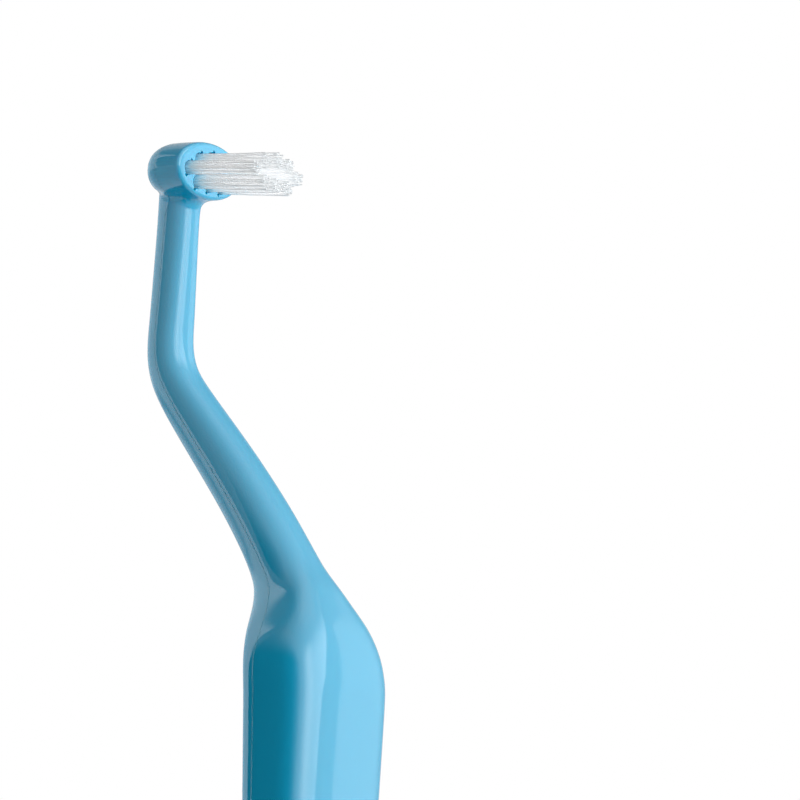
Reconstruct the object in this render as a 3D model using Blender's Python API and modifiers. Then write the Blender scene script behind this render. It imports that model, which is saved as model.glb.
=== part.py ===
"""Angled toothbrush: a moulded handle with an oval head, eight bristle tufts and their anchors.

Metres. +Z runs up the handle, the bristles point to -Y, and the origin lies in the middle of the
small flat on the butt end.
"""

import math
import random

import bmesh
import bpy
from mathutils import Matrix, Vector

# Grip, from the butt end to its widest section
GRIP_LENGTH = 0.110
GRIP_WIDTH = 0.0174
GRIP_DEPTH = 0.0088
CREST_LEAD = 0.00197
BUTT_WIDTH = 0.0132
BUTT_DEPTH = 0.0060
BUTT_ROUNDING_HEIGHT = 0.0030
BUTT_FLAT_WIDTH = 0.0070
BUTT_FLAT_DEPTH = 0.0026

# Shoulder and slanted neck, from the widest section to the elbow
RISE_LENGTH = 0.036
NECK_SETBACK = 0.0163
ELBOW_WIDTH = 0.00484
ELBOW_DEPTH = 0.00432

# Upright neck, from the elbow to the middle of the head
UPPER_NECK_LENGTH = 0.01755
UPPER_NECK_LEAN = math.radians(4.1)
NECK_TOP_WIDTH = 0.00390
NECK_TOP_DEPTH = 0.00420

# Head: an upright wall behind a flat face, closed by a domed back
HEAD_WIDTH = 0.0113
HEAD_HEIGHT = 0.0058
HEAD_WALL_DEPTH = 0.0029
HEAD_DOME_DEPTH = 0.0028
HEAD_TILT = math.radians(5.5)
HEAD_HEEL_DROP = 0.00035
RIM_ROUNDING = 0.00058

# Tuft holes, tufts and anchors
HOLE_DIAMETER = 0.0015
HOLE_DEPTH = 0.0030
BRISTLE_LENGTH = 0.0088
LENGTH_SPREAD = 0.0002
FILAMENT_DIAMETER = 0.00014
FILAMENT_PITCH = 0.00015
ROW_PITCH = 0.00014
FOLD_THICKNESS = 0.0003
ANCHOR_WIDTH = 0.00195
ANCHOR_HEIGHT = 0.0016
ANCHOR_THICKNESS = 0.00028
ANCHOR_ROUNDING = 0.00004
ANCHOR_TURN = math.radians(65.0)
SEAT_GAP = 0.00005
FOLD_CLEARANCE = 0.00003
TUFT_CLEARANCE = 0.00006
CUT_OVERRUN = 0.0005

# Tip pitch of the filaments against their pitch at the fold
TIP_SPREAD_SHARE = 1.45

# Grip stations: share of its length, then the growth of its width and of its depth from the
# butt to the widest section
GRIP_SHARES = (
    (0.10, 0.08, 0.00),
    (0.25, 0.23, 0.03),
    (0.42, 0.40, 0.08),
    (0.58, 0.56, 0.16),
    (0.73, 0.72, 0.32),
    (0.84, 0.83, 0.53),
    (0.90, 0.90, 0.69),
    (0.955, 0.955, 0.85),
    (1.00, 1.00, 1.00),
)

# Stations from the widest section to the elbow: share of the rise, of the setback, of the excess
# width and of the excess depth over the elbow's, then how boxy the section is and where it parts
RISE_SHARES = (
    (0.083, 0.014, 0.960, 0.98, 1.00, 0.25),
    (0.167, 0.055, 0.737, 0.98, 0.85, 0.15),
    (0.236, 0.114, 0.428, 0.905, 0.50, -0.08),
    (0.292, 0.160, 0.225, 0.785, 0.30, -0.12),
    (0.347, 0.220, 0.166, 0.67, 0.10, 0.00),
    (0.417, 0.300, 0.150, 0.63, 0.00, 0.00),
    (0.528, 0.437, 0.124, 0.61, 0.00, 0.00),
    (0.667, 0.631, 0.091, 0.57, 0.00, 0.00),
    (0.778, 0.794, 0.062, 0.47, 0.00, 0.00),
    (0.861, 0.909, 0.037, 0.32, 0.00, 0.00),
    (0.931, 0.981, 0.016, 0.09, 0.00, 0.00),
    (1.000, 1.000, 0.000, 0.00, 0.00, 0.00),
)

# Stations up the upright neck: share of its length up to the head's middle
UPPER_NECK_SHARES = (0.14, 0.32, 0.50, 0.66)

# The last sections under the head lean back so that they run level with its underside
COLLAR_SHARES = (0.76, 0.815)
COLLAR_SLOPE = 0.20

# Rings of the head's wall behind the rounded rim, as shares of its depth
WALL_SHARES = (0.34, 0.66, 1.0)

# Squareness of the sections: 2 is an ellipse, more is closer to a rectangle
NECK_SQUARENESS = 2.3
GRIP_FRONT_SQUARENESS = 3.5
GRIP_BACK_SQUARENESS = 4.0
FACE_SQUARENESS = 2.05
DOME_SQUARENESS = 2.3

# How far behind its middle the grip's section is widest, as a share of its depth
GRIP_PARTING_SHARE = 0.25

# Places of the tufts as shares of half the head's width and height
TUFT_PLACE_SHARES = {
    "outer_left": (-0.676, -0.05),
    "upper_left": (-0.375, 0.30),
    "upper_centre": (0.0, 0.417),
    "upper_right": (0.375, 0.30),
    "outer_right": (0.676, -0.05),
    "lower_right": (0.375, -0.466),
    "lower_centre": (0.0, -0.497),
    "lower_left": (-0.375, -0.466),
}

RING_POINTS = 18
HEAD_POINTS = 24
HOLE_SIDES = 16
FILAMENT_SIDES = 3
CAP_ANGLES = tuple(math.radians(angle) for angle in (0.0, 24.0, 48.0, 70.0))
DOME_ANGLES = tuple(math.radians(angle) for angle in (30.0, 50.0, 66.0, 80.0))
LEVELS = 1
SEED = 7


def clear_scene():
    """Remove every object of the scene."""
    for item in list(bpy.data.objects):
        bpy.data.objects.remove(item, do_unlink=True)


def new_collection(name):
    """Return a new collection under the scene's."""
    collection = bpy.data.collections.new(name)
    bpy.context.scene.collection.children.link(collection)
    return collection


def new_material(name, colour, roughness, metallic=0.0):
    """Return a Principled material."""
    material = bpy.data.materials.new(name)
    material.use_nodes = True
    shader = material.node_tree.nodes["Principled BSDF"]
    shader.inputs["Base Color"].default_value = (*colour, 1.0)
    shader.inputs["Roughness"].default_value = roughness
    shader.inputs["Metallic"].default_value = metallic
    return material


def new_object(name, mesh, collection, material=None, parent=None):
    """Return a new object that shows the mesh."""
    item = bpy.data.objects.new(name, mesh)
    collection.objects.link(item)
    item.parent = parent
    if material and not mesh.materials:
        mesh.materials.append(material)
    return item


def mesh_from(bm, name):
    """Turn a bmesh into a mesh with outward faces and free the bmesh."""
    bmesh.ops.recalc_face_normals(bm, faces=bm.faces)
    mesh = bpy.data.meshes.new(name)
    bm.to_mesh(mesh)
    bm.free()
    return mesh


def make_cutter(item):
    """Mark an object as a guide that isn't part of the brush."""
    item.hide_render = True
    item.display_type = "WIRE"


def combine(item, other, operation):
    """Give an object a Boolean modifier with another object."""
    modifier = item.modifiers.new(other.name, "BOOLEAN")
    modifier.operation = operation
    modifier.solver = "EXACT"
    modifier.object = other


def swell(points, squareness):
    """Return how much a ring must grow so that its subdivided form keeps the wanted size."""
    round_swell = 3 / (2 + math.cos(math.tau / points))
    return 1 + (round_swell - 1) * 2 / squareness


def signed_power(value, exponent):
    """Return the power of a value's size, with the value's sign."""
    return math.copysign(abs(value) ** exponent, value)


def blend(start, end, share):
    """Return the value that lies a share of the way from start to end."""
    return start + (end - start) * share


def halfway(stations):
    """Return the stations with one more between each two, on a smooth curve through them."""
    result = [stations[0]]
    for index in range(len(stations) - 1):
        before = stations[max(index - 1, 0)]
        start, end = stations[index], stations[index + 1]
        after = stations[min(index + 2, len(stations) - 1)]
        middle = tuple((9 * (b + c) - a - d) / 16 for a, b, c, d in zip(before, start, end, after))
        result += [middle, end]
    return result


def grip_stations():
    """Return (height, centre, width, depth, boxiness, parting) up the grip."""
    stations = []
    for along, wider, deeper in GRIP_SHARES:
        width = blend(BUTT_WIDTH, GRIP_WIDTH, wider)
        depth = blend(BUTT_DEPTH, GRIP_DEPTH, deeper)
        stations.append((GRIP_LENGTH * along, -CREST_LEAD * deeper, width, depth, 1, GRIP_PARTING_SHARE))
    return stations


def rise_stations():
    """Return the stations over the shoulder and up the slanted neck."""
    stations = []
    for along, back, wider, deeper, boxiness, parting in RISE_SHARES:
        stations.append((
            GRIP_LENGTH + RISE_LENGTH * along,
            blend(-CREST_LEAD, NECK_SETBACK, back),
            blend(ELBOW_WIDTH, GRIP_WIDTH, wider),
            blend(ELBOW_DEPTH, GRIP_DEPTH, deeper),
            boxiness,
            parting,
        ))
    return stations


def upper_neck_station(share):
    """Return the station at a share of the upright neck, which leans forwards as it rises."""
    climb = UPPER_NECK_LENGTH * share
    return (
        GRIP_LENGTH + RISE_LENGTH + climb,
        NECK_SETBACK - climb * math.tan(UPPER_NECK_LEAN),
        blend(ELBOW_WIDTH, NECK_TOP_WIDTH, min(share / UPPER_NECK_SHARES[-1], 1.0)),
        blend(ELBOW_DEPTH, NECK_TOP_DEPTH, min(share / UPPER_NECK_SHARES[-1], 1.0)),
        0,
        0,
    )


def head_frame():
    """Return the frame of the head's face: X along its width, Y up, Z out along the bristles."""
    top = upper_neck_station(1.0)
    back = top[1] + NECK_TOP_DEPTH / 2
    face = back - (HEAD_WALL_DEPTH + HEAD_DOME_DEPTH) * math.cos(HEAD_TILT)
    return Matrix.Translation((0, face, top[0])) @ Matrix.Rotation(math.pi / 2 + HEAD_TILT, 4, "X")


def add_section(bm, station, slope=0.0):
    """Add a ring of vertices and return it, from the back round by the left.

    The ring is half a superellipse in front of its widest line and half another one behind it.
    """
    height, centre, width, depth, boxiness, parting = station
    front = blend(NECK_SQUARENESS, GRIP_FRONT_SQUARENESS, boxiness)
    back = blend(NECK_SQUARENESS, GRIP_BACK_SQUARENESS, boxiness)
    growth = swell(RING_POINTS, (front + back) / 2)
    ring = []
    for index in range(RING_POINTS):
        angle = math.pi / 2 + math.tau * index / RING_POINTS
        behind = math.sin(angle) > 0
        squareness = back if behind else front
        reach = depth * (1 / 2 - parting if behind else 1 / 2 + parting) * growth
        x = signed_power(math.cos(angle), 2 / squareness) * width / 2 * growth
        y = signed_power(math.sin(angle), 2 / squareness) * reach + depth * parting
        ring.append(bm.verts.new((x, centre + y, height + y * slope)))
    return ring


def add_head_ring(bm, frame, half_width, half_height, depth):
    """Add a ring of the head, from the bottom round by the right, and return it."""
    depth_share = depth / (HEAD_WALL_DEPTH + HEAD_DOME_DEPTH)
    drop = HEAD_HEEL_DROP * depth_share ** 2
    squareness = blend(FACE_SQUARENESS, DOME_SQUARENESS, depth_share)
    growth = swell(HEAD_POINTS, squareness)
    ring = []
    for index in range(HEAD_POINTS):
        angle = math.tau * index / HEAD_POINTS - math.pi / 2
        x = signed_power(math.cos(angle), 2 / squareness) * half_width * growth
        y = signed_power(math.sin(angle), 2 / squareness) * half_height * growth - drop
        ring.append(bm.verts.new(frame @ Vector((x, y, -depth))))
    return ring


def join_rings(bm, first, second, skipped=()):
    """Skin the space between two rings, leaving out the columns that are skipped."""
    count = len(first)
    for index in range(count):
        if index not in skipped:
            after = (index + 1) % count
            bm.faces.new((first[index], first[after], second[after], second[index]))


def close_ring(bm, ring, centre):
    """Close a ring with a fan round a new vertex."""
    pole = bm.verts.new(centre)
    for index, vertex in enumerate(ring):
        bm.faces.new((vertex, ring[(index + 1) % len(ring)], pole))


def add_butt(bm):
    """Add the rounded butt end with its flat, and return the ring that the grip starts from."""
    flat_inner = add_section(bm, (0, 0, BUTT_FLAT_WIDTH / 2, BUTT_FLAT_DEPTH / 2, 0, 0))
    close_ring(bm, flat_inner, (0, 0, 0))
    ring = add_section(bm, (0, 0, BUTT_FLAT_WIDTH, BUTT_FLAT_DEPTH, 0, 0))
    join_rings(bm, flat_inner, ring)
    for angle in reversed(CAP_ANGLES):
        out = math.cos(angle)
        height = BUTT_ROUNDING_HEIGHT * (1 - math.sin(angle))
        width = blend(BUTT_FLAT_WIDTH, BUTT_WIDTH, out)
        depth = blend(BUTT_FLAT_DEPTH, BUTT_DEPTH, out)
        upper = add_section(bm, (height, 0, width, depth, out, GRIP_PARTING_SHARE * out))
        join_rings(bm, ring, upper)
        ring = upper
    return ring


def add_neck(bm, ring):
    """Loft from the butt's last ring to the collar under the head, and return the last ring."""
    rise = halfway([grip_stations()[-1], *rise_stations(), upper_neck_station(UPPER_NECK_SHARES[0])])
    neck = [upper_neck_station(share) for share in UPPER_NECK_SHARES[1:]]
    for station in [*grip_stations()[:-1], *rise, *neck]:
        upper = add_section(bm, station)
        join_rings(bm, ring, upper)
        ring = upper
    for share in COLLAR_SHARES:
        upper = add_section(bm, upper_neck_station(share), COLLAR_SLOPE)
        join_rings(bm, ring, upper)
        ring = upper
    return ring


def add_head(bm, collar):
    """Add the head and bridge it to the collar ring.

    Four columns of the underside, from the second ring of the wall to the third of the dome,
    stay open for the neck.
    """
    frame = head_frame()
    half_width, half_height = HEAD_WIDTH / 2, HEAD_HEIGHT / 2
    inner = add_head_ring(bm, frame, half_width / 3, half_height / 3, 0)
    close_ring(bm, inner, frame.translation)
    middle = add_head_ring(bm, frame, half_width * 2 / 3, half_height * 2 / 3, 0)
    border = add_head_ring(bm, frame, half_width - RIM_ROUNDING, half_height - RIM_ROUNDING, 0)
    rim = add_head_ring(bm, frame, half_width, half_height, 0)
    wall = [rim, add_head_ring(bm, frame, half_width, half_height, RIM_ROUNDING)]
    for share in WALL_SHARES:
        wall.append(add_head_ring(bm, frame, half_width, half_height, HEAD_WALL_DEPTH * share))
    dome = []
    for angle in DOME_ANGLES:
        depth = HEAD_WALL_DEPTH + HEAD_DOME_DEPTH * math.sin(angle)
        scale = math.cos(angle) ** (2 / DOME_SQUARENESS)
        dome.append(add_head_ring(bm, frame, half_width * scale, half_height * scale, depth))
    for first, second in ((inner, middle), (middle, border), (border, rim), (rim, wall[1]),
                          (wall[1], wall[2]), (dome[-2], dome[-1])):
        join_rings(bm, first, second)
    rows = [*wall[2:], *dome[:-1]]
    opening = (HEAD_POINTS - 2, HEAD_POINTS - 1, 0, 1)
    for first, second in zip(rows, rows[1:]):
        join_rings(bm, first, second, skipped=opening)
    pole_depth = HEAD_WALL_DEPTH + HEAD_DOME_DEPTH
    close_ring(bm, dome[-1], frame @ Vector((0, -HEAD_HEEL_DROP, -pole_depth)))
    left = [row[-2] for row in reversed(rows[1:-1])]
    right = [row[2] for row in rows[1:-1]]
    back, front = rows[-1], rows[0]
    mouth = [back[0], back[-1], back[-2], *left, front[-2], front[-1], front[0], front[1], front[2],
             *right, back[2], back[1]]
    join_rings(bm, collar, mouth)


def tuft_places():
    """Return the name of each tuft and the place of its hole in the face's frame."""
    return {
        name: Vector((HEAD_WIDTH / 2 * across, HEAD_HEIGHT / 2 * up, 0))
        for name, (across, up) in TUFT_PLACE_SHARES.items()
    }


def anchor_bottom():
    """Return the place of an anchor's lower edge along its hole's axis."""
    return -HOLE_DEPTH + SEAT_GAP + FOLD_THICKNESS + SEAT_GAP


def hole_cutters(collection, parent):
    """Return one object with a cylinder for each tuft hole."""
    bm = bmesh.new()
    length = HOLE_DEPTH + CUT_OVERRUN
    for place in tuft_places().values():
        middle = place + Vector((0, 0, CUT_OVERRUN - length / 2))
        bmesh.ops.create_cone(bm, cap_ends=True, segments=HOLE_SIDES, radius1=HOLE_DIAMETER / 2,
                              radius2=HOLE_DIAMETER / 2, depth=length,
                              matrix=Matrix.Translation(middle))
    item = new_object("tuft_hole_cutters", mesh_from(bm, "tuft_hole_cutters"), collection,
                      parent=parent)
    make_cutter(item)
    return item


def slot_cutters(collection, parent):
    """Return one object with a thin block for each anchor's slot, open at the face."""
    bm = bmesh.new()
    bottom = anchor_bottom() - SEAT_GAP
    length = CUT_OVERRUN - bottom
    size = (ANCHOR_WIDTH + 2 * SEAT_GAP, ANCHOR_THICKNESS + 2 * SEAT_GAP, length)
    for place in tuft_places().values():
        middle = place + Vector((0, 0, bottom + length / 2))
        turn = Matrix.Rotation(ANCHOR_TURN, 4, "Z")
        bmesh.ops.create_cube(bm, size=1.0, matrix=(
            Matrix.Translation(middle) @ turn @ Matrix.Diagonal((*size, 1.0))))
    item = new_object("anchor_slot_cutters", mesh_from(bm, "anchor_slot_cutters"), collection,
                      parent=parent)
    make_cutter(item)
    return item


def make_handle(parts, cutters, head_empty, material):
    """Make the moulding: one smooth cage for grip, neck and head, then its holes and slots."""
    bm = bmesh.new()
    ring = add_butt(bm)
    collar = add_neck(bm, ring)
    add_head(bm, collar)
    handle = new_object("handle", mesh_from(bm, "handle"), parts, material)
    smooth = handle.modifiers.new("smooth form", "SUBSURF")
    smooth.levels = LEVELS
    smooth.render_levels = LEVELS
    holes = hole_cutters(cutters, head_empty)
    combine(holes, slot_cutters(cutters, head_empty), "UNION")
    combine(handle, holes, "DIFFERENCE")
    handle.data.shade_smooth()
    return handle


def filament_ends():
    """Return the place of each filament at the fold and at its tip, in a tuft's own frame."""
    reach = HOLE_DIAMETER / 2 - TUFT_CLEARANCE - FILAMENT_DIAMETER / 2
    first_row = ANCHOR_THICKNESS / 2 + TUFT_CLEARANCE + FILAMENT_DIAMETER / 2
    tip_pitch = FILAMENT_PITCH * TIP_SPREAD_SHARE
    ends = []
    for row in range(int((reach - first_row) / ROW_PITCH) + 1):
        off = first_row + row * ROW_PITCH
        half = math.sqrt(reach ** 2 - off ** 2)
        count = int(2 * half / FILAMENT_PITCH) + 1
        for index in range(count):
            step = index - (count - 1) / 2
            for side in (-1, 1):
                foot = (step * FILAMENT_PITCH, side * off)
                tip = (step * tip_pitch, side * (row + 1 / 2) * tip_pitch)
                ends.append((foot, tip))
    return ends


def strand_matrix(foot, tip):
    """Return the frame of a straight strand whose Z runs from its foot to its tip."""
    run = tip - foot
    return Matrix.Translation((foot + tip) / 2) @ run.to_track_quat("Z", "Y").to_matrix().to_4x4()


def make_tuft_mesh(collection, material):
    """Return the mesh of a tuft: the pressed fold at the hole's bottom and its filaments."""
    fold_bottom = -HOLE_DEPTH + SEAT_GAP
    bm = bmesh.new()
    radius = HOLE_DIAMETER / 2 - FOLD_CLEARANCE
    bmesh.ops.create_cone(bm, cap_ends=True, segments=HOLE_SIDES, radius1=radius, radius2=radius,
                          depth=FOLD_THICKNESS,
                          matrix=Matrix.Translation((0, 0, fold_bottom + FOLD_THICKNESS / 2)))
    fold = new_object("fold", mesh_from(bm, "fold"), collection)
    chance = random.Random(SEED)
    turn = Matrix.Rotation(ANCHOR_TURN, 4, "Z")
    bm = bmesh.new()
    for foot, tip in filament_ends():
        length = BRISTLE_LENGTH + chance.uniform(-LENGTH_SPREAD, LENGTH_SPREAD)
        low = turn @ Vector((*foot, fold_bottom + FOLD_THICKNESS / 2))
        high = turn @ Vector((*tip, length))
        bmesh.ops.create_cone(bm, cap_ends=True, segments=FILAMENT_SIDES,
                              radius1=FILAMENT_DIAMETER / 2, radius2=FILAMENT_DIAMETER / 2,
                              depth=(high - low).length, matrix=strand_matrix(low, high))
    strands = new_object("strands", mesh_from(bm, "strands"), collection)
    combine(fold, strands, "UNION")
    bpy.context.view_layer.update()
    evaluated = fold.evaluated_get(bpy.context.evaluated_depsgraph_get())
    mesh = bpy.data.meshes.new_from_object(evaluated)
    mesh.name = "tuft"
    mesh.materials.clear()
    mesh.materials.append(material)
    for item in (fold, strands):
        bpy.data.objects.remove(item, do_unlink=True)
    return mesh


def make_anchor_mesh(material):
    """Return the mesh of an anchor plate, with its lower edge at the origin's height."""
    bm = bmesh.new()
    size = (ANCHOR_WIDTH, ANCHOR_THICKNESS, ANCHOR_HEIGHT)
    bmesh.ops.create_cube(bm, size=1.0, matrix=(
        Matrix.Translation((0, 0, ANCHOR_HEIGHT / 2)) @ Matrix.Diagonal((*size, 1.0))))
    bmesh.ops.bevel(bm, geom=bm.edges[:], offset=ANCHOR_ROUNDING, segments=1, profile=0.5,
                    affect="EDGES", material=-1)
    mesh = mesh_from(bm, "anchor")
    mesh.materials.append(material)
    return mesh


def make_head_empty(collection):
    """Return the empty that carries what sits in the head's face."""
    empty = bpy.data.objects.new("head_face", None)
    empty.matrix_world = head_frame()
    collection.objects.link(empty)
    return empty


def main():
    """Build the brush."""
    clear_scene()
    parts = new_collection("angled_toothbrush")
    cutters = new_collection("cutters")
    plastic = new_material("blue_plastic", (0.10, 0.43, 0.66), 0.12)
    nylon = new_material("clear_nylon", (0.85, 0.88, 0.90), 0.35)
    brass = new_material("brass", (0.62, 0.43, 0.18), 0.30, metallic=1.0)
    head_empty = make_head_empty(parts)
    bpy.context.view_layer.update()
    make_handle(parts, cutters, head_empty, plastic)
    tuft_mesh = make_tuft_mesh(cutters, nylon)
    anchor_mesh = make_anchor_mesh(brass)
    for name, place in tuft_places().items():
        tuft = new_object("tuft_" + name, tuft_mesh, parts, parent=head_empty)
        tuft.location = place
        anchor = new_object("anchor_" + name, anchor_mesh, parts, parent=head_empty)
        anchor.location = place + Vector((0, 0, anchor_bottom()))
        anchor.rotation_euler.z = ANCHOR_TURN
    bpy.context.view_layer.update()


main()
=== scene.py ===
"""Finished looks of an angled toothbrush: glossy moulding, clear bristles and brass anchors.

Metres throughout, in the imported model's frame: +Z runs up the handle, the bristles point to -Y and
the origin lies in the middle of the flat on the butt end.
"""

import logging
import math
import random
from collections.abc import Iterable, Iterator
from dataclasses import astuple, dataclass, field
from enum import Enum
from functools import reduce
from typing import Protocol

import bmesh
import bpy
from bmesh.types import BMesh, BMEdge, BMVert
from bpy.types import ID, Material, Mesh, Node, NodeSocket, NodeTree, Object
from mathutils import Matrix, Vector
from mathutils.bvhtree import BVHTree


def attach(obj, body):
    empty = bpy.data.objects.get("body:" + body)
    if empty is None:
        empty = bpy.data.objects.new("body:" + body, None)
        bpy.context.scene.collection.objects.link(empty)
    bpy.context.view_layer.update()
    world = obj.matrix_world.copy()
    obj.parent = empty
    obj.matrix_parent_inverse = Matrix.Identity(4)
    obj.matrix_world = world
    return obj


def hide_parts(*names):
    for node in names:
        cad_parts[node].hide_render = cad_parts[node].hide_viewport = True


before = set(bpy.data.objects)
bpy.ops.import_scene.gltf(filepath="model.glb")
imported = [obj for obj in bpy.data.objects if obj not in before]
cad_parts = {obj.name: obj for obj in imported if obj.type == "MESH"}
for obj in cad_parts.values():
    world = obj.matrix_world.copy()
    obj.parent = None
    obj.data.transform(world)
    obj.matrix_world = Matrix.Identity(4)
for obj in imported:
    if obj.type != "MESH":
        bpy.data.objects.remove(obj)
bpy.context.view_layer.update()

BODY = "root"
MERGE_DISTANCE = 0.000001
UP = Vector((0, 0, 1))
BLACK = (0.0, 0.0, 0.0)
WHITE = (1.0, 1.0, 1.0)

Colour = tuple[float, float, float]
Value = NodeSocket | float | Iterable[float]
log = logging.getLogger("angled_toothbrush")


class Slot(Enum):
    """Names of the plastic and nylon materials of the new pieces."""

    PLASTIC = "blue_plastic"
    NYLON = "clear_nylon"


class Boolean(Enum):
    """What is done to a piece with another object."""

    JOIN = "UNION"
    CUT = "DIFFERENCE"


class Ray(Enum):
    """The kinds of ray that a material or the world tells apart."""

    CAMERA = "Is Camera Ray"
    DIFFUSE = "Is Diffuse Ray"
    GLOSSY = "Is Glossy Ray"
    TRANSMISSION = "Is Transmission Ray"


class Side(Enum):
    """The two sides of an edge, as the sign of the direction across it."""

    LEFT = -1
    RIGHT = 1


def blend(start: float, end: float, share: float) -> float:
    """Return the value that lies a share of the way from start to end."""
    return start + (end - start) * share


def signed_power(value: float, exponent: float) -> float:
    """Return the power of a value's size, with the value's sign."""
    return math.copysign(abs(value) ** exponent, value)


def direction(azimuth: float, elevation: float = 0.0) -> Vector:
    """Return the direction with an azimuth, which is 0 in front of the brush, and an elevation."""
    level = math.cos(elevation)
    return Vector((math.sin(azimuth) * level, -math.cos(azimuth) * level, math.sin(elevation)))


def oval(count: int, squareness: float, start: float) -> Iterator[tuple[float, float]]:
    """Yield the points of a unit superellipse.

    Args:
        count: The number of points.
        squareness: 2 for an ellipse, more for a form closer to a rectangle.
        start: The angle of the first point.

    Returns:
        The x and y of each point, anticlockwise.
    """
    for index in range(count):
        angle = start + math.tau * index / count
        yield signed_power(math.cos(angle), 2 / squareness), signed_power(math.sin(angle), 2 / squareness)


def swell(count: int, squareness: float) -> float:
    """Return how much a ring must grow so that its subdivided form keeps the wanted size."""
    round_swell = 3 / (2 + math.cos(math.tau / count))
    return 1 + (round_swell - 1) * 2 / squareness


def mesh_of(name: str, bm: BMesh, outward: bool = True) -> Mesh:
    """Turn a bmesh into a mesh.

    Args:
        name: The mesh's name.
        bm: The bmesh, which is freed.
        outward: Whether its faces still have to be turned outwards.

    Returns:
        The new mesh.
    """
    if outward:
        bmesh.ops.recalc_face_normals(bm, faces=bm.faces)
    mesh = bpy.data.meshes.new(name)
    bm.to_mesh(mesh)
    bm.free()
    return mesh


def show(data: ID) -> Object:
    """Show a mesh, a light or a camera.

    Args:
        data: The mesh, the light or the camera.

    Returns:
        A new object at the origin, with the same name.
    """
    item = bpy.data.objects.new(data.name, data)
    bpy.context.scene.collection.objects.link(item)
    return item


def aim(item: Object, target: Vector, away: Vector, distance: float) -> None:
    """Put a lamp or camera at a distance from its target, in the direction away, and turn it there."""
    turn = away.to_track_quat("Z", "Y").to_matrix().to_4x4()
    item.matrix_world = Matrix.Translation(target + away * distance) @ turn


def dress(piece: Object, material: Material) -> None:
    """Give a piece one material in place of those that it has."""
    piece.data.materials.clear()
    piece.data.materials.append(material)


def combine(piece: Object, other: Object, operation: Boolean) -> None:
    """Join an object onto a piece or cut it away, and apply the piece's modifiers.

    Args:
        piece: The piece that changes.
        other: The object that is joined on or cut away, and that is removed then.
        operation: Which of the two is done.
    """
    modifier = piece.modifiers.new(other.name, "BOOLEAN")
    modifier.operation = operation.value
    modifier.solver = "EXACT"
    modifier.object = other
    bpy.context.view_layer.update()
    evaluated = piece.evaluated_get(bpy.context.evaluated_depsgraph_get())
    mesh = bpy.data.meshes.new_from_object(evaluated)
    old = piece.data
    piece.modifiers.clear()
    piece.data = mesh
    mesh.name = piece.name
    bpy.data.meshes.remove(old)
    bpy.data.objects.remove(other, do_unlink=True)


def report(piece: Object) -> None:
    """Log a piece's name and its number of faces."""
    log.info("%s: %d faces", piece.name, len(piece.data.polygons))


class Skin:
    """A surface that grows ring by ring from a circle of vertices."""

    def __init__(self, bm: BMesh, places: list[Vector]) -> None:
        """Start the skin.

        Args:
            bm: The bmesh that it grows in.
            places: The places of the first ring's vertices, in order round it.
        """
        self.bm = bm
        made = bmesh.ops.create_circle(bm, cap_ends=False, segments=len(places), radius=1.0)
        self.ring: list[BMVert] = made["verts"]
        self.move(places)

    def move(self, places: Iterable[Vector]) -> None:
        """Put the last ring's vertices in new places."""
        for vertex, place in zip(self.ring, places):
            vertex.co = place

    def edges(self) -> list[BMEdge]:
        """Return the edges of the last ring."""
        pairs = zip(self.ring, self.ring[1:] + self.ring[:1])
        return [self.bm.edges.get(pair) for pair in pairs]

    def grow(self, places: Iterable[Vector]) -> list[BMVert]:
        """Extrude the last ring and put the new one in its places.

        Args:
            places: The places of the new ring's vertices.

        Returns:
            The new ring.
        """
        made = bmesh.ops.extrude_edge_only(self.bm, edges=self.edges())["geom"]
        fresh = {item for item in made if isinstance(item, BMVert)}
        self.ring = [
            next(end for edge in vertex.link_edges if (end := edge.other_vert(vertex)) in fresh)
            for vertex in self.ring
        ]
        self.move(places)
        return self.ring

    def follow(self, rings: Iterable[Iterable[Vector]]) -> None:
        """Grow through several rings."""
        for places in rings:
            self.grow(places)

    def close(self, centre: Vector) -> None:
        """Close the last ring with a fan round one new vertex."""
        ring = self.grow([centre] * len(self.ring))
        bmesh.ops.pointmerge(self.bm, verts=ring, merge_co=centre)

    def cap(self, rings: Iterable[Iterable[Vector]], centre: Vector) -> None:
        """Close the last ring over smaller ones and go back to it, to grow the other way.

        Args:
            rings: The smaller rings.
            centre: The middle of the cap.
        """
        rim = self.ring
        self.follow(rings)
        self.close(centre)
        self.ring = rim


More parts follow.
